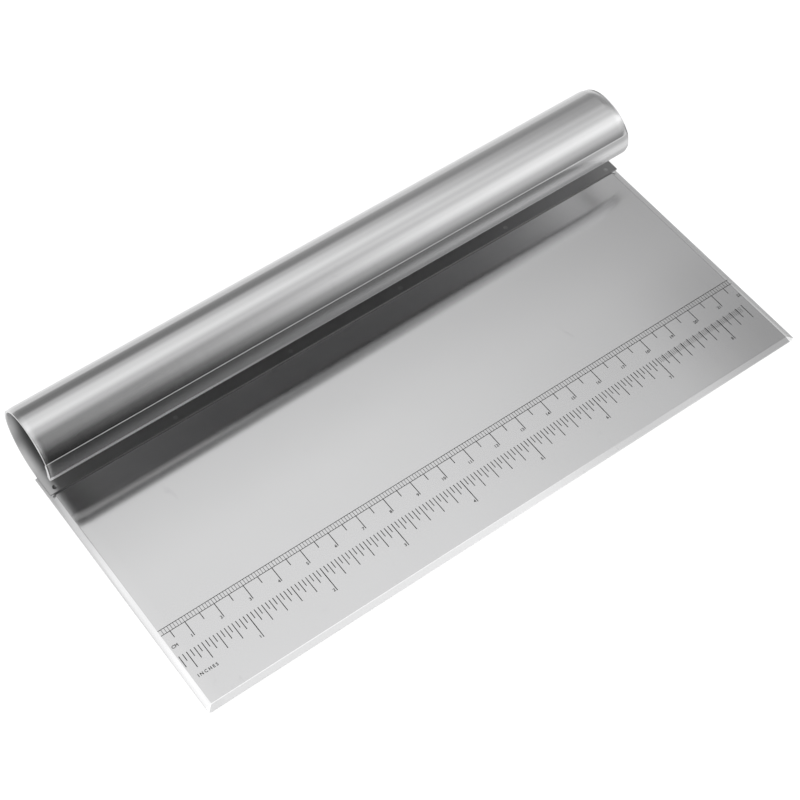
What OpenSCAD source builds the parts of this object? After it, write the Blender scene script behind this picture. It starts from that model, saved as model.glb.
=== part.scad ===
// Icing smoother. A flat steel blade with ground edges carries a rolled steel handle.
// The handle is one strip of sheet: a flange on the blade, an open roll, a curved lip and
// a hem folded inside the lip. A row of spot welds holds the flange to the blade.
// +X runs along the handle, +Y from the working edge to the handle, and +Z up.
// The origin is under the middle of the tool, on the surface that it lies on.

/* [Blade] */
// Width of the blade, along the handle
blade_w = 220; // [150:1:320]
// Thickness of the blade
blade_t = 0.9; // [0.7:0.05:1.5]
// Width of the ground bevel on the working edge and on both sides
bevel_w = 2; // [1:0.1:3.5]
// Thickness left at the ground edges
edge_t = 0.4; // [0.2:0.05:0.6]
// Radius of the two front corners
corner_r = 1; // [0.2:0.1:6]
// How far the blade stops short of where the roll lifts off it
blade_back_gap = 0.5; // [0.2:0.1:2]

/* [Handle] */
// Depth of the whole tool, from the working edge to the back of the roll
tool_d = 110; // [90:1:160]
// Outside diameter of the roll
roll_d = 27.6; // [22:0.1:34]
// Thickness of the handle's sheet
sheet_t = 0.7; // [0.5:0.05:1.1]
// How far each end of the handle stops short of the blade's side
handle_inset = 0.7; // [0:0.1:2]
// Depth of the flat flange in front of the roll's centre line
flange_d = 8.8; // [6:0.1:16]
// Angle above the roll's centre line at which the round turns into the lip
crease_angle = 30.52; // [15:0.02:40]
// Angle of the sharp bend between the roll and the lip
crease_turn = 14.1; // [8:0.1:30]
// Outside radius of the sharp bend
crease_r = 1.6; // [1.4:0.1:3]

/* [Lip] */
// Height of the lip, along its curve from the sharp bend to the folded edge
lip_h = 7.26; // [5:0.02:9]
// Outside radius of the lip's gentle curve
lip_curve_r = 16.35; // [12:0.05:60]
// Gap left inside the fold of the hem
hem_gap = 0.25; // [0.1:0.05:0.5]
// Share of the lip's height that the hem covers
hem_share = 0.85; // [0.3:0.05:0.95]

/* [Spot welds] */
// Number of spot welds along the flange
weld_count = 6; // [2:1:10]
// Diameter of each weld
weld_d = 1.6; // [1.2:0.1:2.6]
// Flange left between its front edge and the welds
weld_front_gap = 1; // [0.4:0.1:2]
// Flat blade left between its side bevels and the end welds
weld_side_gap = 0.4; // [0.2:0.1:4]
// Depth of the dent that each weld leaves in the flange
weld_dent = 0.12; // [0.05:0.01:0.3]
// Share of the blade's thickness that each weld reaches into
weld_bite_share = 0.5; // [0.2:0.05:0.8]

/* [Hidden] */
$fn = 96;
// How far cutting shapes run past what they cut
overrun = 1;
// Degrees in a quarter turn, and in the fold that brings a sheet back along itself
quarter_turn = 90;
half_turn = 180;
// Turn from one square of a wedge to the next, which overlaps it
wedge_step = 60;

roll_r = roll_d / 2;
handle_w = blade_w - 2 * handle_inset;
front_y = -tool_d / 2;
roll_y = tool_d / 2 - roll_r;
roll_z = blade_t + roll_r;
blade_d = roll_y - blade_back_gap - front_y;
roll_turn = quarter_turn + half_turn - crease_angle;
lip_turn = lip_h / lip_curve_r * half_turn / PI;
hem_r = sheet_t + hem_gap / 2;
hem_curve_r = lip_curve_r - 2 * hem_r + sheet_t;
key_w = sheet_t / 2;
weld_x = blade_w / 2 - bevel_w - weld_side_gap - weld_d / 2;
weld_y = roll_y - flange_d + weld_front_gap + weld_d / 2;
weld_pitch = 2 * weld_x / (weld_count - 1);
weld_bite = weld_bite_share * blade_t;
weld_h = weld_bite + sheet_t - weld_dent;

WELDS = [for (i = [1 : weld_count]) str("weld_", i)];

// A wedge that opens from the X axis through an angle, made of squares that overlap.
// Its last square hangs below the end, so the next bend starts exactly where this one stops
module wedge(reach, turn) {
    if (turn < quarter_turn)
        intersection() {
            square(reach);
            rotate(turn)
                mirror([0, 1])
                    square(reach);
        }
    else {
        for (at = [0 : wedge_step : turn - quarter_turn])
            rotate(at)
                square(reach);
        rotate(turn)
            mirror([0, 1])
                square(reach);
    }
}

// Sheet bent through an angle round the origin, from the X axis on, with its outside at radius r
module bend(r, turn) {
    intersection() {
        difference() {
            circle(r = r);
            circle(r = r - sheet_t);
        }
        wedge(r + overrun, turn);
    }
}

// A small square inside the sheet that joins two bends across the X axis
module seam_key(r) {
    translate([r - (sheet_t + key_w) / 2, -key_w / 2])
        square(key_w);
}

// Puts what follows a bend at its end, with the next bend's centre as the origin
module after_bend(r, turn, next_r) {
    rotate(turn) {
        seam_key(r);
        translate([r - next_r, 0])
            children();
    }
}

// What a rounded corner takes off, about the centre of its arc
module corner_waste() {
    difference() {
        translate([0, -corner_r - overrun])
            square(corner_r + overrun);
        circle(r = corner_r);
    }
}

// The blade's outline, with its working edge along X
module blade_outline() {
    difference() {
        translate([-blade_w / 2, 0])
            square([blade_w, blade_d]);
        for (side = [0, 1])
            mirror([side, 0])
                translate([blade_w / 2 - corner_r, corner_r])
                    corner_waste();
    }
}

// The bevel's waste along an edge of the given length: +X points off the blade
module bevel_waste(length) {
    rotate([90, 0, 0])
        linear_extrude(height = length, center = true)
            polygon([
                [-bevel_w, blade_t],
                [0, edge_t],
                [overrun, edge_t],
                [overrun, blade_t + overrun],
                [-bevel_w, blade_t + overrun]
            ]);
}

// One weld, with its foot at the given depth in the blade and its top at height h above that
module weld_slug(h) {
    translate([0, 0, blade_t - weld_bite])
        cylinder(h = h, d = weld_d);
}

module each_weld() {
    for (i = [0 : weld_count - 1])
        translate([i * weld_pitch - weld_x, weld_y, 0])
            children();
}

module blade() {
    color("silver")
        difference() {
            translate([0, front_y, 0])
                linear_extrude(height = blade_t)
                    blade_outline();
            translate([0, front_y, 0])
                rotate(-90)
                    bevel_waste(blade_w + 2 * overrun);
            for (side = [0, 1])
                mirror([side, 0, 0])
                    translate([blade_w / 2, front_y + blade_d / 2, 0])
                        bevel_waste(blade_d + 2 * overrun);
            each_weld()
                weld_slug(weld_bite + overrun);
        }
}

// The lip and its hem, about the centre of the lip's curve: the hem folds back inside the lip
module lip_section() {
    bend(lip_curve_r, lip_turn);
    after_bend(lip_curve_r, lip_turn, hem_r)
        bend(hem_r, half_turn);
    rotate(lip_turn)
        mirror([0, 1]) {
            seam_key(hem_curve_r);
            bend(hem_curve_r, hem_share * lip_turn);
        }
}

// The whole strip, seen from the end, about the roll's centre
module handle_section() {
    translate([-flange_d, -roll_r])
        square([flange_d, sheet_t]);
    rotate(-quarter_turn) {
        bend(roll_r, roll_turn);
        after_bend(roll_r, roll_turn, crease_r) {
            bend(crease_r, crease_turn);
            after_bend(crease_r, crease_turn, lip_curve_r)
                lip_section();
        }
    }
}

module handle() {
    color("gainsboro")
        difference() {
            translate([0, roll_y, roll_z])
                rotate([90, 0, 90])
                    linear_extrude(height = handle_w, center = true)
                        handle_section();
            each_weld()
                weld_slug(weld_bite + sheet_t + overrun);
        }
}

module weld(i) {
    color("darkgray")
        translate([i * weld_pitch - weld_x, weld_y, 0])
            weld_slug(weld_h);
}

blade();
handle();
for (i = [0 : weld_count - 1])
    weld(i);
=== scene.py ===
# Icing smoother: a ground steel blade with two etched scales, and an open rolled handle along its back.
# The scene is in metres. X runs along the handle, Y from the working edge to the handle.
# In the dictionaries of the pieces and finishes, lengths are in millimetres and angles in degrees.
from math import cos, pi, radians, sin

import bmesh
import bpy
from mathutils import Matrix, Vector


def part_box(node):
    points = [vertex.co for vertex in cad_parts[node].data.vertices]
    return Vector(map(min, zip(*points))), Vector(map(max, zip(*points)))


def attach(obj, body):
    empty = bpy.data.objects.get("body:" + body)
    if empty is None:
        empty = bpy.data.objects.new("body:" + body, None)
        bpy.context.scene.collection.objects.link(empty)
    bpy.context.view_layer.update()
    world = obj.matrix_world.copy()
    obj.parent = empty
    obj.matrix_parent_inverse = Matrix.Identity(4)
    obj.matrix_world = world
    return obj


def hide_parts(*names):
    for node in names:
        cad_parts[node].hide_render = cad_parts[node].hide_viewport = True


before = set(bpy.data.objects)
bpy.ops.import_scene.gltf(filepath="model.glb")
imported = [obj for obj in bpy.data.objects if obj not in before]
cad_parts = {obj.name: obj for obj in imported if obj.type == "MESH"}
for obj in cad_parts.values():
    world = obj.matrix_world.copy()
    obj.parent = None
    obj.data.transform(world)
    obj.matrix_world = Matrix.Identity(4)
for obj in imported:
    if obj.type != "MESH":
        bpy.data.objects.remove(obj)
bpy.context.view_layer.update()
bpy.context.scene.view_settings.view_transform = "Standard"
millimetre = 0.001
mergeGap = 0.0005 * millimetre  # points closer than this become one
pickGap = 0.004 * millimetre  # a point this close to a place counts as on it

bladeLow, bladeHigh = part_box("blade")
handleLow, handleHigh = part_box("handle")
weldBoxes = {name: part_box(name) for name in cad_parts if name.startswith("weld_")}
print("frame loaded:", len(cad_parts), "nodes")


# Small helpers for picking and editing
def onlySelect(piece):
    if bpy.context.mode != "OBJECT":
        bpy.ops.object.mode_set(mode="OBJECT")
    bpy.ops.object.select_all(action="DESELECT")
    piece.select_set(True)
    bpy.context.view_layer.objects.active = piece


def startEdit(piece):
    onlySelect(piece)
    bpy.ops.object.mode_set(mode="EDIT")
    bpy.ops.mesh.select_mode(type="VERT")


def endEdit():
    bpy.ops.object.mode_set(mode="OBJECT")


def pickPoints(piece, wanted):
    bpy.ops.mesh.select_mode(type="VERT")
    bpy.ops.mesh.select_all(action="DESELECT")
    points = bmesh.from_edit_mesh(piece.data)
    for point in points.verts:
        point.select_set(wanted(point.co))
    points.select_flush(True)
    bmesh.update_edit_mesh(piece.data)


def pickEdges(piece, wanted):
    bpy.ops.mesh.select_mode(type="EDGE")
    bpy.ops.mesh.select_all(action="DESELECT")
    points = bmesh.from_edit_mesh(piece.data)
    for edge in points.edges:
        edge.select_set(wanted(edge))
    bmesh.update_edit_mesh(piece.data)


def pickFaces(piece, wanted):
    bpy.ops.mesh.select_mode(type="FACE")
    bpy.ops.mesh.select_all(action="DESELECT")
    points = bmesh.from_edit_mesh(piece.data)
    for face in points.faces:
        face.select_set(wanted(face))
    bmesh.update_edit_mesh(piece.data)


def bakePlace(piece):
    onlySelect(piece)
    bpy.ops.object.transform_apply(location=True, rotation=True, scale=True)


def applyAll(piece):
    onlySelect(piece)
    for step in [modifier.name for modifier in piece.modifiers]:
        bpy.ops.object.modifier_apply(modifier=step)


def cutAway(piece, cutter):
    cut = piece.modifiers.new("cut", "BOOLEAN")
    cut.object = cutter
    cut.solver = "EXACT"
    applyAll(piece)
    bpy.data.objects.remove(cutter)


def smoothShade(piece, degrees):
    onlySelect(piece)
    bpy.ops.object.shade_smooth_by_angle(angle=radians(degrees))


def cleanFaces(piece):
    startEdit(piece)
    bpy.ops.mesh.select_all(action="SELECT")
    bpy.ops.mesh.remove_doubles(threshold=mergeGap)
    bpy.ops.mesh.normals_make_consistent(inside=False)
    endEdit()


def joinAll(pieces, name):
    onlySelect(pieces[0])
    for piece in pieces:
        piece.select_set(True)
    bpy.ops.object.join()
    pieces[0].name = name
    pieces[0].data.name = name
    return pieces[0]


def near(first, second):
    return abs(first - second) < pickGap


# axis is 0, 1 or 2 for X, Y or Z
def liesAt(edge, axis, value):
    return all(near(point.co[axis], value) for point in edge.verts)


# Camera, at the photograph's angle, placed in metres
photoCamera = {
    "place": (-0.2113, -0.2825, 0.4966),
    "target": (-0.0042, -0.0003, 0.0),
    "lens": 88.5,
    "sensor": 36.0,
}


def makeCamera(look):
    place = Vector(look["place"])
    aim = Vector(look["target"]) - place
    bpy.ops.object.camera_add(location=place, rotation=aim.to_track_quat("-Z", "Y").to_euler())
    camera = bpy.context.object
    camera.name = "photoCamera"
    camera.data.lens = look["lens"]
    camera.data.sensor_width = look["sensor"]
    bpy.context.scene.camera = camera


makeCamera(photoCamera)
print("camera placed")


# Node helpers
def newTree(owner):
    owner.use_nodes = True
    owner.node_tree.nodes.clear()
    return owner.node_tree


def addNode(tree, kind, **settings):
    node = tree.nodes.new(kind)
    for setting, value in settings.items():
        setattr(node, setting, value)
    return node


# a source is a node's output or a plain number
def feed(tree, source, target):
    if hasattr(source, "is_output"):
        tree.links.new(source, target)
    else:
        target.default_value = source


def mathNode(tree, operation, *values, clamp=False):
    node = addNode(tree, "ShaderNodeMath", operation=operation, use_clamp=clamp)
    for socket, value in zip(node.inputs, values):
        feed(tree, value, socket)
    return node.outputs[0]


def mixNumbers(tree, first, second, share):
    step = mathNode(tree, "SUBTRACT", second, first)
    return mathNode(tree, "ADD", first, mathNode(tree, "MULTIPLY", share, step))


def easeBetween(tree, value, low, high, atLow=0.0, atHigh=1.0):
    node = addNode(tree, "ShaderNodeMapRange", interpolation_type="SMOOTHSTEP")
    tree.links.new(value, node.inputs["Value"])
    for name, number in (("From Min", low), ("From Max", high), ("To Min", atLow), ("To Max", atHigh)):
        node.inputs[name].default_value = number
    return node.outputs["Result"]


def splitVector(tree, vector):
    parts = addNode(tree, "ShaderNodeSeparateXYZ")
    tree.links.new(vector, parts.inputs[0])
    return parts.outputs


# eases between two distances along an axis, in millimetres from a start in metres
def easeAlong(tree, place, axis, distances, atLow=0.0, atHigh=1.0, start=0.0):
    low, high = (start + distance * millimetre for distance in distances)
    return easeBetween(tree, splitVector(tree, place)[axis], low, high, atLow, atHigh)


def stretchedNoise(tree, place, scale, detail, roughness=0.6):
    mapping = addNode(tree, "ShaderNodeMapping")
    tree.links.new(place, mapping.inputs["Vector"])
    mapping.inputs["Scale"].default_value = scale
    noise = addNode(tree, "ShaderNodeTexNoise")
    tree.links.new(mapping.outputs[0], noise.inputs["Vector"])
    noise.inputs["Scale"].default_value = 1.0
    noise.inputs["Detail"].default_value = detail
    noise.inputs["Roughness"].default_value = roughness
    return noise.outputs["Fac"]


# Studio: a world of soft panels round the X axis, and a pale floor
studio = {
    # degrees up from the horizon behind the handle, over the top and down to the front: brightness
    "base": (
        (0, 0.69), (8, 0.33), (20, 0.26), (36, 0.28), (60, 0.20),
        (100, 0.32), (122, 0.24), (138, 0.13), (152, 0.02), (180, 0.0),
    ),
    "backPanel": (
        (30, 0.0), (42, 0.42), (58, 0.86), (74, 0.96), (92, 0.46), (112, 0.0), (130, 0.0),
    ),
    "frontPanel": (
        (-10, 0.10), (10, 0.16), (60, 0.0), (80, 0.22), (100, 0.52),
        (118, 1.13), (130, 1.30), (151, 0.85), (176, 0.36),
    ),
    # where the panels change, as the X part of a direction
    "backPanelSide": (0.34, 0.56),  # it dims to the right, down to the share in the next line
    "backPanelRest": 0.14,
    "frontPanelSide": (0.28, 0.39),  # it is dark in the middle and lit at both sides
}
# in metres
floorLook = {
    "size": 12.0,
    "drop": 0.0002,
    "albedo": 0.26,
    "glow": 0.90,  # for the camera alone
    "mirror": (0.86, 0.65),  # glow in reflections, close to the X axis and further off
    "reach": (0.06, 0.17),
}


def brightnessRamp(tree, angle, stops):
    lowest, highest = stops[0][0], stops[-1][0]
    share = addNode(tree, "ShaderNodeMapRange")
    tree.links.new(angle, share.inputs["Value"])
    share.inputs["From Min"].default_value = lowest
    share.inputs["From Max"].default_value = highest
    ramp = addNode(tree, "ShaderNodeValToRGB")
    tree.links.new(share.outputs["Result"], ramp.inputs["Fac"])
    colours = ramp.color_ramp
    colours.interpolation = "EASE"
    while len(colours.elements) < len(stops):
        colours.elements.new(0.5)
    for element, (degrees, brightness) in zip(colours.elements, stops):
        element.position = (degrees - lowest) / (highest - lowest)
        element.color = (brightness, brightness, brightness, 1.0)
    return ramp.outputs["Color"]


def makeWorld(look):
    world = bpy.data.worlds.new("softStudio")
    bpy.context.scene.world = world
    tree = newTree(world)
    direction = splitVector(tree, addNode(tree, "ShaderNodeTexCoord").outputs["Generated"])
    # angle round the X axis: 0 at the back horizon, 90 overhead, 180 at the front horizon
    turn = mathNode(tree, "ARCTAN2", direction["Z"], direction["Y"])
    angle = mathNode(tree, "MULTIPLY", turn, 180 / pi)
    right = direction["X"]
    backShare = easeBetween(tree, right, *look["backPanelSide"], atLow=1.0, atHigh=look["backPanelRest"])
    frontShare = easeBetween(tree, mathNode(tree, "ABSOLUTE", right), *look["frontPanelSide"])
    total = brightnessRamp(tree, angle, look["base"])
    for panel, share in (("backPanel", backShare), ("frontPanel", frontShare)):
        lit = mathNode(tree, "MULTIPLY", brightnessRamp(tree, angle, look[panel]), share)
        total = mathNode(tree, "ADD", total, lit)
    background = addNode(tree, "ShaderNodeBackground")
    tree.links.new(total, background.inputs["Color"])
    output = addNode(tree, "ShaderNodeOutputWorld")
    tree.links.new(background.outputs[0], output.inputs["Surface"])


def makeFloor(look):
    bpy.ops.mesh.primitive_plane_add(size=look["size"], location=(0, 0, -look["drop"]))
    floor = bpy.context.object
    floor.name = "studioFloor"
    bakePlace(floor)
    material = bpy.data.materials.new("paleFloor")
    tree = newTree(material)
    rays = addNode(tree, "ShaderNodeLightPath")
    # in reflections the floor dims behind and in front of the tool
    place = splitVector(tree, addNode(tree, "ShaderNodeTexCoord").outputs["Object"])
    away = mathNode(tree, "ABSOLUTE", place["Y"])
    mirrored = easeBetween(tree, away, *look["reach"], *look["mirror"])
    glossy = mathNode(tree, "MAXIMUM", rays.outputs["Is Glossy Ray"], rays.outputs["Is Transmission Ray"])
    mirrored = mathNode(tree, "MULTIPLY", glossy, mirrored)
    direct = mathNode(tree, "MULTIPLY", rays.outputs["Is Camera Ray"], look["glow"])
    matte = addNode(tree, "ShaderNodeBsdfDiffuse")
    matte.inputs["Color"].default_value = (look["albedo"],) * 3 + (1.0,)
    glow = addNode(tree, "ShaderNodeEmission")
    tree.links.new(mathNode(tree, "MAXIMUM", direct, mirrored), glow.inputs["Strength"])
    lit = addNode(tree, "ShaderNodeAddShader")
    tree.links.new(matte.outputs[0], lit.inputs[0])
    tree.links.new(glow.outputs[0], lit.inputs[1])
    # from below the floor isn't there, so the underside can be looked at
    below = addNode(tree, "ShaderNodeNewGeometry").outputs["Backfacing"]
    clear = addNode(tree, "ShaderNodeBsdfTransparent")
    seen = addNode(tree, "ShaderNodeMixShader")
    tree.links.new(below, seen.inputs[0])
    tree.links.new(lit.outputs[0], seen.inputs[1])
    tree.links.new(clear.outputs[0], seen.inputs[2])
    output = addNode(tree, "ShaderNodeOutputMaterial")
    tree.links.new(seen.outputs[0], output.inputs["Surface"])
    floor.data.materials.append(material)


makeWorld(studio)
makeFloor(floorLook)
print("studio ready")

# Finishes: brushed steel, with its grain, smudges and hairlines in one node group
brushedSteel = {
    # how fast each pattern changes along X, Y and Z, per metre: brush lines lie across the handle
    "lines": (9000.0, 90.0, 90.0),
    "streaks": (900.0, 14.0, 14.0),
    "cloud": (38.0, 55.0, 55.0),
    "wander": (260.0, 31.0, 31.0),
    "patches": (60.0, 47.0, 52.0),
    "patchEdge": (0.56, 0.66),  # hairlines show only where the patches are above this
    "hairWidth": 0.004,
    "hairDark": 0.4,
    "hairDull": 0.5,
    "grainDark": 0.35,
    "grainDull": 0.5,
    "blue": 1.006,
}


def makeSteelGroup(look):
    group = bpy.data.node_groups.new("brushedSteel", "ShaderNodeTree")
    sockets = (
        ("Place", "INPUT", "NodeSocketVector", None),
        ("Tone", "INPUT", "NodeSocketFloat", 0.7),
        ("Roughness", "INPUT", "NodeSocketFloat", 0.2),
        ("Grain", "INPUT", "NodeSocketFloat", 0.1),
        ("Smudge", "INPUT", "NodeSocketFloat", 0.05),
        ("Hairlines", "INPUT", "NodeSocketFloat", 0.1),
        ("Color", "OUTPUT", "NodeSocketColor", None),
        ("Roughness", "OUTPUT", "NodeSocketFloat", None),
        ("Height", "OUTPUT", "NodeSocketFloat", None),
    )
    for name, side, kind, default in sockets:
        socket = group.interface.new_socket(name, in_out=side, socket_type=kind)
        if default is not None:
            socket.default_value = default
    entry = addNode(group, "NodeGroupInput").outputs
    leave = addNode(group, "NodeGroupOutput").inputs
    place = entry["Place"]
    lines = stretchedNoise(group, place, look["lines"], detail=2.0)
    streaks = stretchedNoise(group, place, look["streaks"], detail=3.0)
    cloud = stretchedNoise(group, place, look["cloud"], detail=4.0, roughness=0.5)
    # a hairline is where a slow, stretched noise crosses its middle value
    wander = stretchedNoise(group, place, look["wander"], detail=1.0)
    crossing = mathNode(group, "ABSOLUTE", mathNode(group, "SUBTRACT", wander, 0.5))
    hair = easeBetween(group, crossing, 0.0, look["hairWidth"], atLow=1.0, atHigh=0.0)
    patches = stretchedNoise(group, place, look["patches"], detail=0.0)
    hair = mathNode(group, "MULTIPLY", hair, easeBetween(group, patches, *look["patchEdge"]))
    hair = mathNode(group, "MULTIPLY", hair, entry["Hairlines"])
    grain = mathNode(group, "SUBTRACT", mathNode(group, "ADD", lines, streaks), 1.0)
    grain = mathNode(group, "MULTIPLY", grain, entry["Grain"])
    smudge = mathNode(group, "MULTIPLY", mathNode(group, "SUBTRACT", cloud, 0.5), entry["Smudge"])
    shade = mathNode(group, "ADD", mathNode(group, "MULTIPLY", grain, look["grainDark"]), 1.0)
    shade = mathNode(group, "SUBTRACT", shade, mathNode(group, "MULTIPLY", hair, look["hairDark"]))
    tone = mathNode(group, "MULTIPLY", entry["Tone"], shade)
    colour = addNode(group, "ShaderNodeCombineColor")
    group.links.new(tone, colour.inputs["Red"])
    group.links.new(tone, colour.inputs["Green"])
    group.links.new(mathNode(group, "MULTIPLY", tone, look["blue"]), colour.inputs["Blue"])
    group.links.new(colour.outputs["Color"], leave["Color"])
    rough = mathNode(group, "ADD", entry["Roughness"], mathNode(group, "MULTIPLY", grain, look["grainDull"]))
    rough = mathNode(group, "ADD", rough, smudge)
    rough = mathNode(group, "ADD", rough, mathNode(group, "MULTIPLY", hair, look["hairDull"]), clamp=True)
    group.links.new(rough, leave["Roughness"])
    group.links.new(mathNode(group, "SUBTRACT", grain, hair), leave["Height"])
    return group


steelGroup = makeSteelGroup(brushedSteel)


# each zone is a mask, with the tone and the roughness that the steel has there
def makeSteel(name, look, *zones, warp=None):
    material = bpy.data.materials.new(name)
    tree = newTree(material)
    place = addNode(tree, "ShaderNodeTexCoord").outputs["Object"]
    finish = addNode(tree, "ShaderNodeGroup", node_tree=steelGroup)
    tree.links.new(place, finish.inputs["Place"])
    for setting in ("Grain", "Smudge", "Hairlines"):
        finish.inputs[setting].default_value = look[setting.lower()]
    tone, rough = look["tone"], look["roughness"]
    for mask, zone in zones:
        share = mask(tree, place)
        tone = mixNumbers(tree, tone, look[zone + "Tone"], share)
        rough = mixNumbers(tree, rough, look[zone + "Roughness"], share)
    feed(tree, tone, finish.inputs["Tone"])
    feed(tree, rough, finish.inputs["Roughness"])
    bump = addNode(tree, "ShaderNodeBump")
    bump.inputs["Strength"].default_value = look["relief"]
    bump.inputs["Distance"].default_value = look["reliefDepth"] * millimetre
    tree.links.new(finish.outputs["Height"], bump.inputs["Height"])
    if warp is not None:
        bend = addNode(tree, "ShaderNodeBump")
        bend.inputs["Distance"].default_value = 1.0  # a warp gives its height in metres
        tree.links.new(warp(tree, place), bend.inputs["Height"])
        tree.links.new(bend.outputs["Normal"], bump.inputs["Normal"])
    shader = addNode(tree, "ShaderNodeBsdfPrincipled")
    tree.links.new(finish.outputs["Color"], shader.inputs["Base Color"])
    tree.links.new(finish.outputs["Roughness"], shader.inputs["Roughness"])
    tree.links.new(bump.outputs["Normal"], shader.inputs["Normal"])
    shader.inputs["Metallic"].default_value = 1.0
    # the brushing spreads reflections along X: the tangent runs round X, turned a quarter
    shader.inputs["Anisotropic"].default_value = look["brushing"]
    shader.inputs["Anisotropic Rotation"].default_value = 0.25
    around = addNode(tree, "ShaderNodeTangent", direction_type="RADIAL", axis="X")
    tree.links.new(around.outputs["Tangent"], shader.inputs["Tangent"])
    output = addNode(tree, "ShaderNodeOutputMaterial")
    tree.links.new(shader.outputs[0], output.inputs["Surface"])
    return material


# the height of a surface that curves down to its left end over a short width
def leftEndHeight(tree, across, end, width, slope):
    width = width * millimetre
    past = mathNode(tree, "MAXIMUM", mathNode(tree, "SUBTRACT", end + width, across), 0.0)
    return mathNode(tree, "MULTIPLY", mathNode(tree, "MULTIPLY", past, past), -slope / (2 * width))


# Blade: a plate with a ground bevel round three sides and rounded front corners
groundBlade = {
    "bevel": 2.0,
    "bevelDrop": 0.5,
    "cornerRadius": 1.0,
    "ridge": 0.16,  # rounding where the flat meets the bevel
    "edge": 0.06,  # rounding round the outline
}
bladeFinish = {
    "tone": 0.62, "roughness": 0.17, "grain": 0.05, "smudge": 0.03, "hairlines": 0.08,
    "relief": 0.1, "reliefDepth": 0.01, "brushing": 0.9,
    "zonesAbove": 0.2,  # the underside is plain
    # edgeTone is the ground bevel's own lighter finish; its brightening along the front towards the left and
    # along the left side towards the back is painted light
    "edgeTone": 0.95, "edgeRoughness": 0.22,
    "frontAcross": (0.0, 50.0), "frontRest": 0.15,  # the front bevel is brighter towards the left
    "leftDeep": (-30.0, 10.0), "leftShare": 0.6,  # the left bevel is brighter towards the back
    # backTone is painted shade on the blade in front of the handle
    "backTone": 0.55, "backRoughness": 0.17, "backShadeDeep": (-12.0, 20.0),
    # cornerTone is painted shade at the right front corner
    "cornerTone": 0.45, "cornerRoughness": 0.17, "cornerAcross": (65.0, 105.0),
    "cornerFromEdge": (0.0, 75.0),
}
# thin sheet is never quite flat: it dips towards the working edge and rounds off to the left
bladeWarp = {
    "dip": 0.033,
    "dipGrowth": 0.15,  # the dip is steeper by this for each metre to the right
    "level": 30.0,  # at this Y the warp has no slope along X
    "leftWidth": 6.0,
    "leftSlope": 0.2,
}


def onTop(tree, place, zone):
    above = bladeFinish["zonesAbove"] * millimetre
    top = mathNode(tree, "GREATER_THAN", splitVector(tree, place)["Z"], above)
    return mathNode(tree, "MULTIPLY", zone, top)


# the ground bevel's own lighter finish, plus painted light where it brightens towards the left front and the
# back left
def bevelMask(tree, place):
    parts = splitVector(tree, place)
    width = groundBlade["bevel"] * millimetre
    right = mathNode(tree, "GREATER_THAN", parts["X"], bladeHigh[0] - width)
    left = mathNode(tree, "LESS_THAN", parts["X"], bladeLow[0] + width)
    leftShare = easeAlong(tree, place, "Y", bladeFinish["leftDeep"], atLow=bladeFinish["leftShare"])
    sides = mathNode(tree, "ADD", right, mathNode(tree, "MULTIPLY", left, leftShare))
    front = mathNode(tree, "LESS_THAN", parts["Y"], bladeLow[1] + width)
    frontShare = easeAlong(tree, place, "X", bladeFinish["frontAcross"], 1.0, bladeFinish["frontRest"])
    bevel = mathNode(tree, "MAXIMUM", sides, mathNode(tree, "MULTIPLY", front, frontShare))
    return onTop(tree, place, bevel)


# painted shade: the steel is painted a little darker in front of the handle
def backMask(tree, place):
    return onTop(tree, place, easeAlong(tree, place, "Y", bladeFinish["backShadeDeep"]))


# painted shade: the steel is painted darker at the right front corner
def cornerMask(tree, place):
    right = easeAlong(tree, place, "X", bladeFinish["cornerAcross"])
    front = easeAlong(tree, place, "Y", bladeFinish["cornerFromEdge"], 1.0, 0.0, start=bladeLow[1])
    bevelStart = bladeHigh[0] - groundBlade["bevel"] * millimetre
    flat = mathNode(tree, "LESS_THAN", splitVector(tree, place)["X"], bevelStart)
    corner = mathNode(tree, "MULTIPLY", flat, mathNode(tree, "MULTIPLY", right, front))
    return onTop(tree, place, corner)


def bladeHeight(tree, place):
    parts = splitVector(tree, place)
    growth = mathNode(tree, "MULTIPLY", parts["X"], bladeWarp["dipGrowth"])
    slope = mathNode(tree, "ADD", growth, bladeWarp["dip"])
    back = mathNode(tree, "SUBTRACT", parts["Y"], bladeWarp["level"] * millimetre)
    dip = mathNode(tree, "MULTIPLY", back, slope)
    left = leftEndHeight(tree, parts["X"], bladeLow[0], bladeWarp["leftWidth"], bladeWarp["leftSlope"])
    return mathNode(tree, "ADD", dip, left)


# where an upright wall meets a face that isn't upright
def onOutline(edge):
    upright = 0.1
    return len({abs(face.normal.z) < upright for face in edge.link_faces}) == 2


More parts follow.
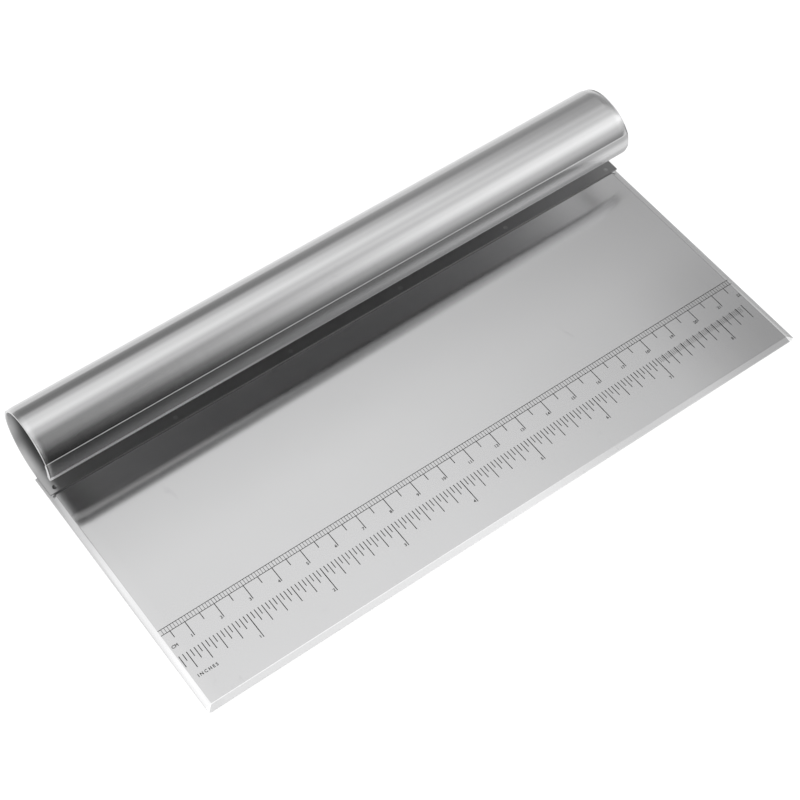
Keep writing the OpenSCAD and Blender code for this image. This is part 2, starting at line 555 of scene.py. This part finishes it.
def makeBlade(shape, material):
    low, high = Vector(bladeLow), Vector(bladeHigh)
    bpy.ops.mesh.primitive_cube_add(size=1.0, location=(low + high) / 2)
    blade = bpy.context.object
    blade.name = "groundBlade"
    blade.scale = high - low
    bakePlace(blade)
    startEdit(blade)
    pickEdges(blade, lambda edge: liesAt(edge, 1, low.y) and near(edge.verts[0].co.x, edge.verts[1].co.x))
    bpy.ops.mesh.bevel(offset=shape["cornerRadius"] * millimetre, segments=8, affect="EDGES")
    width, drop = shape["bevel"] * millimetre, shape["bevelDrop"] * millimetre
    for place, slope in (((0, low.y), (0, -drop)), ((low.x, 0), (-drop, 0)), ((high.x, 0), (drop, 0))):
        bpy.ops.mesh.select_all(action="SELECT")
        bpy.ops.mesh.bisect(
            plane_co=(*place, high.z - drop), plane_no=Vector((*slope, width)).normalized(),
            use_fill=True, clear_outer=True, threshold=mergeGap,
        )
    pickEdges(blade, lambda edge: liesAt(edge, 2, high.z) and not liesAt(edge, 1, high.y))
    bpy.ops.mesh.bevel(offset=shape["ridge"] * millimetre, segments=3, affect="EDGES")
    pickEdges(blade, onOutline)
    bpy.ops.mesh.bevel(offset=shape["edge"] * millimetre, segments=2, affect="EDGES")
    # a thin border keeps the shading of the wide faces flat
    wideArea = 50 * width * width
    pickFaces(blade, lambda face: face.calc_area() > wideArea)
    bpy.ops.mesh.inset(thickness=shape["edge"] * millimetre / 3)
    endEdit()
    cleanFaces(blade)
    smoothShade(blade, 30)
    blade.data.materials.append(material)
    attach(blade, "root")
    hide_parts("blade")


bladeZones = ((backMask, "back"), (bevelMask, "edge"), (cornerMask, "corner"))
bladeSteel = makeSteel("bladeSteel", bladeFinish, *bladeZones, warp=bladeHeight)
makeBlade(groundBlade, bladeSteel)
print("blade made")

# Handle: one strip of sheet with a flange, an open roll, a lip and a hem folded inside the lip
rolledHandle = {
    "sheet": 0.7,
    "flange": 8.8,
    "creaseAt": 149.48,
    "creaseRadius": 1.6,
    "lipFrom": 163.58,
    "lipTo": 189.02,
    "lipRadius": 16.35,
    "lipTop": 21.4,
    "lipFoot": 14.3,
    "hemRadius": 0.825,
    "hemShare": 0.85,
    "steps": {"roll": 120, "crease": 8, "lip": 20, "fold": 16, "hem": 16},
    # width of the turned band, how far it turns in, how far it reaches past the solid
    "ends": {"left": (2.4, 0.25, 0.0), "right": (3.2, 0.6, 0.8)},
    "endSteps": 6,
    "endCrowding": 1.5,  # the band's cuts stand closer towards the rim
    "cornerRadius": 3.4,  # lower right corner of the lip
    "lipInFront": 8.0,  # the lip stands more than this in front of the roll's centre
    "lipAbove": 5.0,  # and higher than this, and the flange is lower
}
handleFinish = {
    "tone": 0.62, "roughness": 0.17, "grain": 0.05, "smudge": 0.03, "hairlines": 0.08,
    "relief": 0.1, "reliefDepth": 0.01, "brushing": 0.9,
    "endTone": 0.72, "endRoughness": 0.26,
    # lipTone is painted shade: the lip is painted darker than the roll
    "lipTone": 0.42, "lipRoughness": 0.2, "lipSoft": 0.3,
    # painted light: the upper lip is painted back up to the plain tone towards the right
    "swellTone": 0.62, "swellRoughness": 0.2, "lipSheenSoft": 1.0,
    "lipSheenAcross": (-70.0, 90.0), "lipSheenHeights": (16.4, 19.4),
    # hemTone is a painted highlight on the hem at the lip's foot, bright at the left and fading out by the
    # middle
    "hemTone": 1.0, "hemRoughness": 0.3, "hemSoft": 0.3,
    "hemAcross": (-75.0, 0.0), "hemHeights": (7.15, 15.4),
}
innerFinish = {
    # painted light: the inside's tone is set far above the outer sheet's to stand in for light inside the
    # roll; its high roughness is the sheet's own rough inner finish
    "tone": 0.95, "roughness": 0.58, "grain": 0.08, "smudge": 0.10, "hairlines": 0.0,
    "relief": 0.15, "reliefDepth": 0.01, "brushing": 0.0, "leftWidth": 4.0, "leftSlope": 0.5,
    # mouthTone is painted shade inside the roll near its open left end
    "mouthTone": 0.2, "mouthRoughness": 0.5, "mouthFromEnd": (4.0, 22.0),
    # tipTone is painted light at the very left end of the inside
    "tipTone": 0.5, "tipRoughness": 0.45, "tipFromEnd": (0.5, 4.5),
    # flangeTone is painted shade on the flange under the lip
    "flangeTone": 0.26, "flangeRoughness": 0.5,
}
rimFinish = {
    "tone": 0.70, "roughness": 0.30, "grain": 0.04, "smudge": 0.04, "hairlines": 0.0,
    # flangeTone here is painted shade on the flange's cut edges under the lip
    "relief": 0.1, "reliefDepth": 0.01, "brushing": 0.0, "flangeTone": 0.25, "flangeRoughness": 0.5,
}
rollRadius = (handleHigh[2] - bladeHigh[2]) / 2
rollCentre = Vector((0, handleHigh[1] - rollRadius, bladeHigh[2] + rollRadius))
lipLine = rollCentre.y - rolledHandle["lipInFront"] * millimetre


# a step in the plane of the section, at an angle up from +Y
def sideways(degrees, distance):
    return Vector((0, cos(radians(degrees)), sin(radians(degrees)))) * distance


def endMask(tree, place):
    inner = handleHigh[0] - rolledHandle["ends"]["left"][0] * millimetre
    away = mathNode(tree, "ABSOLUTE", splitVector(tree, place)["X"])
    return easeBetween(tree, away, inner, handleHigh[0])


# the strip of sheet in front of the roll, between two heights
def frontStrip(tree, place, heights, soft):
    low, high = heights
    above = easeAlong(tree, place, "Z", (low - soft, low + soft))
    below = easeAlong(tree, place, "Z", (high - soft, high + soft), 1.0, 0.0)
    front = mathNode(tree, "LESS_THAN", splitVector(tree, place)["Y"], lipLine)
    return mathNode(tree, "MULTIPLY", front, mathNode(tree, "MULTIPLY", above, below))


# painted shade: the lip in front of the roll is painted darker
def lipMask(tree, place):
    heights = (rolledHandle["lipFoot"], rolledHandle["lipTop"])
    return frontStrip(tree, place, heights, handleFinish["lipSoft"])


# painted light: the upper part of the lip is painted lighter towards the right
def swellMask(tree, place):
    right = easeAlong(tree, place, "X", handleFinish["lipSheenAcross"])
    strip = frontStrip(tree, place, handleFinish["lipSheenHeights"], handleFinish["lipSheenSoft"])
    return mathNode(tree, "MULTIPLY", right, strip)


# painted highlight: the hem at the lip's foot is painted bright towards the left
def hemMask(tree, place):
    left = easeAlong(tree, place, "X", handleFinish["hemAcross"], 1.0, 0.0)
    strip = frontStrip(tree, place, handleFinish["hemHeights"], handleFinish["hemSoft"])
    return mathNode(tree, "MULTIPLY", left, strip)


# painted shade: the inside of the roll is painted darker towards the open left end
def mouthMask(tree, place):
    return easeAlong(tree, place, "X", innerFinish["mouthFromEnd"], 1.0, 0.0, start=handleLow[0])


# painted light: the last few millimetres at that end are painted lighter
def tipMask(tree, place):
    return easeAlong(tree, place, "X", innerFinish["tipFromEnd"], 1.0, 0.0, start=handleLow[0])


# painted shade: the low sheet in front of the roll's foot, the flange under the lip, is painted darker
def flangeMask(tree, place):
    parts = splitVector(tree, place)
    low = mathNode(tree, "LESS_THAN", parts["Z"], bladeHigh[2] + millimetre)
    return mathNode(tree, "MULTIPLY", low, mathNode(tree, "LESS_THAN", parts["Y"], rollCentre.y))


def innerHeight(tree, place):
    across = splitVector(tree, place)["X"]
    return leftEndHeight(tree, across, handleLow[0], innerFinish["leftWidth"], innerFinish["leftSlope"])


# spin counts its angle the other way round
def spinOn(centre, degrees, steps):
    bpy.ops.mesh.spin(
        steps=steps, angle=-radians(degrees), center=centre, axis=(1, 0, 0), use_auto_merge=False
    )


def makeHandle(shape, materials):
    flangeDepth = shape["flange"] * millimetre
    bpy.ops.mesh.primitive_plane_add(size=1.0, location=(0, rollCentre.y - flangeDepth / 2, bladeHigh[2]))
    handle = bpy.context.object
    handle.name = "rolledHandle"
    handle.scale = (handleHigh[0] - handleLow[0], flangeDepth, 1.0)
    bakePlace(handle)
    startEdit(handle)
    pickEdges(handle, lambda edge: liesAt(edge, 1, rollCentre.y))
    steps = shape["steps"]
    spinOn(rollCentre, shape["creaseAt"] + 90, steps["roll"])
    creaseRadius = shape["creaseRadius"] * millimetre
    creaseCentre = rollCentre + sideways(shape["creaseAt"], rollRadius - creaseRadius)
    spinOn(creaseCentre, shape["lipFrom"] - shape["creaseAt"], steps["crease"])
    lipRadius = shape["lipRadius"] * millimetre
    lipCentre = creaseCentre - sideways(shape["lipFrom"], lipRadius - creaseRadius)
    lipTurn = shape["lipTo"] - shape["lipFrom"]
    spinOn(lipCentre, lipTurn, steps["lip"])
    hemRadius = shape["hemRadius"] * millimetre
    spinOn(lipCentre + sideways(shape["lipTo"], lipRadius - hemRadius), 180, steps["fold"])
    spinOn(lipCentre, -shape["hemShare"] * lipTurn, steps["hem"])
    for side, end in ((-1, "left"), (1, "right")):
        turnEnd(handle, shape, side, *shape["ends"][end])
    endEdit()
    startEdit(handle)
    bpy.ops.mesh.select_all(action="SELECT")
    bpy.ops.mesh.remove_doubles(threshold=2 * mergeGap)
    bpy.ops.mesh.normals_make_consistent(inside=False)
    # the wall grows behind the faces, so the flange's face has to look down
    points = bmesh.from_edit_mesh(handle.data)
    lowest = min(points.faces, key=lambda face: face.calc_center_median().z)
    if lowest.normal.z > 0:
        bpy.ops.mesh.flip_normals()
    endEdit()
    for material in materials:
        handle.data.materials.append(material)
    wall = handle.modifiers.new("wall", "SOLIDIFY")
    wall.thickness = shape["sheet"] * millimetre
    wall.offset = -1.0
    wall.use_even_offset = True
    wall.material_offset = 1
    wall.material_offset_rim = 2
    applyAll(handle)
    # the wall's points that went past a turned end come back to it
    startEdit(handle)
    for end in (handleLow[0], handleHigh[0] + shape["ends"]["right"][2] * millimetre):
        pickPoints(handle, lambda point: abs(point.x) > abs(end) - pickGap and point.x * end > 0)
        bpy.ops.transform.resize(value=(0, 1, 1), center_override=(end, 0, 0))
    endEdit()
    return handle


# draws an end of the roll in towards the roll's foot, over a short band, and leaves the flange alone
def turnEnd(handle, shape, side, band, inwards, outwards):
    end = handleHigh[0] * side
    pickPoints(handle, lambda point: near(point.x, end))
    bpy.ops.transform.translate(value=(side * outwards * millimetre, 0, 0))
    end += side * outwards * millimetre
    foot = Vector((0, rollCentre.y, bladeHigh[2]))
    flangeClear = 3 * foot.z
    lastStep = shape["endSteps"]
    for step in range(lastStep + 1):
        away = band * (1 - step / lastStep) ** shape["endCrowding"]
        cut = end - side * away * millimetre
        if step < lastStep:
            bpy.ops.mesh.select_all(action="SELECT")
            bpy.ops.mesh.bisect(plane_co=(cut, 0, 0), plane_no=(1, 0, 0), threshold=mergeGap)
        pickPoints(handle, lambda point: near(point.x, cut) and (point.y > foot.y or point.z > flangeClear))
        drawn = 1 - inwards * (1 - away / band) ** 2 * millimetre / (2 * rollRadius)
        bpy.ops.transform.resize(value=(1, drawn, drawn), center_override=foot)


def lipEdgeHeight(handle):
    return min(
        point.co.z for point in handle.data.vertices
        if point.co.y < lipLine and point.co.z > rolledHandle["lipAbove"] * millimetre
    )


# a block with one round edge takes the lower right corner off the lip
def roundLipCorner(handle, radius):
    size, depth = 2 * radius, 24 * millimetre
    rightEnd = max(point.co.x for point in handle.data.vertices)
    corner = Vector((rightEnd, handleLow[1], lipEdgeHeight(handle)))
    bpy.ops.mesh.primitive_cube_add(size=1.0, location=corner)
    block = bpy.context.object
    block.name = "cornerCutter"
    block.scale = (size, depth, size)
    bakePlace(block)
    bpy.ops.mesh.primitive_cylinder_add(
        vertices=64, radius=radius, depth=1.25 * depth, rotation=(pi / 2, 0, 0),
        location=corner + Vector((-radius, 0, radius)),
    )
    core = bpy.context.object
    bakePlace(core)
    cutAway(block, core)
    cutAway(handle, block)


outerZones = ((endMask, "end"), (lipMask, "lip"), (swellMask, "swell"), (hemMask, "hem"))
innerZones = ((mouthMask, "mouth"), (flangeMask, "flange"), (tipMask, "tip"))
handleSteel = makeSteel("handleSteel", handleFinish, *outerZones)
handleInside = makeSteel("handleInside", innerFinish, *innerZones, warp=innerHeight)
handleRim = makeSteel("handleRim", rimFinish, (flangeMask, "flange"))
handle = makeHandle(rolledHandle, (handleSteel, handleInside, handleRim))
roundLipCorner(handle, rolledHandle["cornerRadius"] * millimetre)
print("handle rolled")

# Spot welds: a shallow dish with a raised ring, set in a hole through the flange
weldShape = {"sides": 40, "ring": 0.10, "lift": 0.015, "dish": 0.05, "dishSteps": 4}
weldFinish = {
    "tone": 0.32, "roughness": 0.34, "grain": 0.20, "smudge": 0.20, "hairlines": 0.0,
    "relief": 0.4, "reliefDepth": 0.02, "brushing": 0.3,
}
weldSteel = makeSteel("weldSteel", weldFinish)


def weldCircle(low, high):
    radius = (high[0] - low[0]) / 2
    return radius, Vector(((low[0] + high[0]) / 2, (low[1] + high[1]) / 2, 0))


def makeWeld(name, low, high, shape, material):
    radius, centre = weldCircle(low, high)
    bpy.ops.mesh.primitive_circle_add(
        vertices=shape["sides"], radius=radius, fill_type="NGON",
        location=centre + Vector((0, 0, bladeHigh[2])),
    )
    weld = bpy.context.object
    weld.name = name.replace("weld_", "spotWeld")
    bakePlace(weld)
    startEdit(weld)
    bpy.ops.mesh.select_all(action="SELECT")
    bpy.ops.mesh.extrude_region_move(TRANSFORM_OT_translate={"value": (0, 0, high[2] - bladeHigh[2])})
    bpy.ops.mesh.inset(thickness=shape["ring"] * millimetre)
    bpy.ops.transform.translate(value=(0, 0, shape["lift"] * millimetre))
    # the dish's rings stop short of its middle, and each goes down less than the one before
    dishRing = radius / (shape["dishSteps"] + 2)
    for step in range(shape["dishSteps"]):
        bpy.ops.mesh.inset(thickness=dishRing)
        bpy.ops.transform.translate(value=(0, 0, -shape["dish"] * millimetre / (1 + step)))
    bpy.ops.mesh.poke()
    endEdit()
    cleanFaces(weld)
    smoothShade(weld, 60)
    weld.data.materials.append(material)
    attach(weld, "root")
    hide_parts(name)


def drillWelds(handle):
    drills = []
    for low, high in weldBoxes.values():
        radius, centre = weldCircle(low, high)
        bpy.ops.mesh.primitive_cylinder_add(
            vertices=weldShape["sides"], radius=radius, depth=2 * (high[2] - low[2]),
            location=centre + Vector((0, 0, high[2])),
        )
        drills.append(bpy.context.object)
        bakePlace(drills[-1])
    cutAway(handle, joinAll(drills, "weldDrill"))


drillWelds(handle)
handle.data.name = handle.name
smoothShade(handle, 32)
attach(handle, "root")
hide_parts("handle")
for name, (low, high) in weldBoxes.items():
    makeWeld(name, low, high, weldShape, weldSteel)
print("welds set:", len(weldBoxes))

# Scales: etched ticks and numbers, a centimetre scale over an inch scale
etching = {
    "width": 0.26,
    "border": 0.2,
    "thin": 0.14,
    "height": 0.016,
    "sunk": 0.004,  # this much of the height is inside the blade
    "font": 1.44,
    "bold": 0.035,
}
# places are measured from the blade's left side and from its working edge
centimetreScale = {
    "left": 2.0,
    "right": 218.5,
    "rows": (29.95, 28.1),
    "thinFrom": 3,
    "half": 25.6,
    "whole": 22.8,
    "numbers": 21,
    "numberAt": 23.1,
    "numberGap": 0.35,  # from a number to its mark
    "lastNumber": ("22", 217.9),  # its mark would fall on the blade's edge
    "label": ("CM", 4.6),
}
inchScale = {
    "pitch": 1.28,
    "count": 168,
    "perInch": 20,
    "top": 19.7,
    "feet": {"short": 17.16, "middle": 15.6, "long": 13.74, "inch": 10.7},
    "hatchFrom": 180.0,
    "hatch": (19.4, 17.3),
    "numbers": 8,
    "numberAt": 11.3,
    "numberGap": 0.4,
    "label": ("INCHES", 10.4),
    "labelSpacing": 1.5,
}
markLook = {"tone": 0.035, "roughness": 0.55, "metal": 0.2}
markLevel = bladeHigh[2] + (etching["height"] / 2 - etching["sunk"]) * millimetre


def makeMarkInk(look):
    material = bpy.data.materials.new("etchedMarks")
    tree = newTree(material)
    place = addNode(tree, "ShaderNodeTexCoord").outputs["Object"]
    speckle = stretchedNoise(tree, place, (5200.0, 5200.0, 5200.0), detail=2.0)
    patch = stretchedNoise(tree, place, (210.0, 260.0, 210.0), detail=2.0)
    mixed = mathNode(tree, "ADD", mathNode(tree, "MULTIPLY", speckle, 0.5), patch)
    tone = easeBetween(tree, mixed, 0.4, 1.1, atLow=look["tone"] * 0.6, atHigh=look["tone"] * 2.2)
    colour = addNode(tree, "ShaderNodeCombineColor")
    for channel in ("Red", "Green", "Blue"):
        tree.links.new(tone, colour.inputs[channel])
    shader = addNode(tree, "ShaderNodeBsdfPrincipled")
    tree.links.new(colour.outputs["Color"], shader.inputs["Base Color"])
    rough = easeBetween(tree, speckle, 0.3, 0.7, atLow=look["roughness"] - 0.1, atHigh=look["roughness"] + 0.1)
    tree.links.new(rough, shader.inputs["Roughness"])
    shader.inputs["Metallic"].default_value = look["metal"]
    output = addNode(tree, "ShaderNodeOutputMaterial")
    tree.links.new(shader.outputs[0], output.inputs["Surface"])
    return material


markInk = makeMarkInk(markLook)


def onBlade(across, deep):
    return Vector((across * millimetre + bladeLow[0], deep * millimetre + bladeLow[1], markLevel))


def makeMark(left, front, right, back):
    low, high = onBlade(left, front), onBlade(right, back)
    bpy.ops.mesh.primitive_cube_add(size=1.0, location=(low + high) / 2)
    mark = bpy.context.object
    mark.scale = (high.x - low.x, high.y - low.y, etching["height"] * millimetre)
    bakePlace(mark)
    return mark


def rowOfMarks(first, pitch, count, front, back, width):
    mark = makeMark(first - width / 2, front, first + width / 2, back)
    row = mark.modifiers.new("row", "ARRAY")
    row.use_relative_offset = False
    row.use_constant_offset = True
    row.constant_offset_displace = (pitch * millimetre, 0, 0)
    row.count = count
    applyAll(mark)
    return mark


def makeLabel(words, right, middle, spacing=1.0):
    bpy.ops.object.text_add(location=onBlade(right, middle))
    label = bpy.context.object
    label.data.body = words
    label.data.size = etching["font"] * millimetre
    label.data.offset = etching["bold"] * millimetre
    label.data.space_character = spacing
    label.data.resolution_u = 3
    label.data.extrude = etching["height"] * millimetre / 2
    label.data.align_x = "RIGHT"
    label.data.align_y = "CENTER"
    onlySelect(label)
    bpy.ops.object.convert(target="MESH")
    bakePlace(label)
    cleanFaces(label)
    return label


def makeNumbers(look, pitch):
    labels = []
    for number in range(1, look["numbers"] + 1):
        labels.append(makeLabel(str(number), pitch * number - look["numberGap"], look["numberAt"]))
    return labels


def finishMarks(marks, name):
    scale = joinAll(marks, name)
    scale.data.materials.clear()
    scale.data.materials.append(markInk)
    onlySelect(scale)
    bpy.ops.object.shade_flat()
    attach(scale, "root")


def makeCentimetreScale(look):
    wide, border, thin = etching["width"], etching["border"], etching["thin"]
    left, right, thinFrom = look["left"], look["right"], look["thinFrom"]
    upper, lower = look["rows"]
    marks = [
        makeMark(left, upper - border / 2, right, upper + border / 2),
        makeMark(left, lower - border / 2, right, lower + border / 2),
        rowOfMarks(thinFrom, 1, int(right) - thinFrom + 1, lower, upper, thin),
        rowOfMarks(5, 10, look["numbers"] + 1, look["half"], lower, wide),
        rowOfMarks(10, 10, look["numbers"], look["whole"], lower, wide),
    ]
    marks += makeNumbers(look, 10)
    marks.append(makeLabel(*look["lastNumber"], look["numberAt"]))
    marks.append(makeLabel(*look["label"], look["numberAt"]))
    finishMarks(marks, "centimetreScale")


def makeInchScale(look):
    wide, thin = etching["width"], etching["thin"]
    pitch, count, top, feet = look["pitch"], look["count"], look["top"], look["feet"]
    inch = look["perInch"] * pitch
    # the short marks stop where a finer hatching begins
    shortCount = int(look["hatchFrom"] / (2 * pitch)) - 1
    hatchTop, hatchFoot = look["hatch"]
    hatchCount = int((count * pitch - look["hatchFrom"]) / (pitch / 2))
    marks = [
        rowOfMarks(3 * pitch, 2 * pitch, shortCount, feet["short"], top, wide),
        rowOfMarks(2 * pitch, 4 * pitch, count // 4, feet["middle"], top, wide),
        rowOfMarks(4 * pitch, 4 * pitch, count // 4, feet["long"], top, wide),
        rowOfMarks(inch, inch, count // look["perInch"], feet["inch"], top, wide),
        rowOfMarks(look["hatchFrom"], pitch / 2, hatchCount, hatchFoot, hatchTop, thin),
    ]
    marks += makeNumbers(look, inch)
    marks.append(makeLabel(*look["label"], look["numberAt"], spacing=look["labelSpacing"]))
    finishMarks(marks, "inchScale")


makeCentimetreScale(centimetreScale)
makeInchScale(inchScale)
print("scales etched")

for name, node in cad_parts.items():
    node.data.materials.clear()
    node.data.materials.append(weldSteel if name.startswith("weld_") else handleSteel)

print("done")
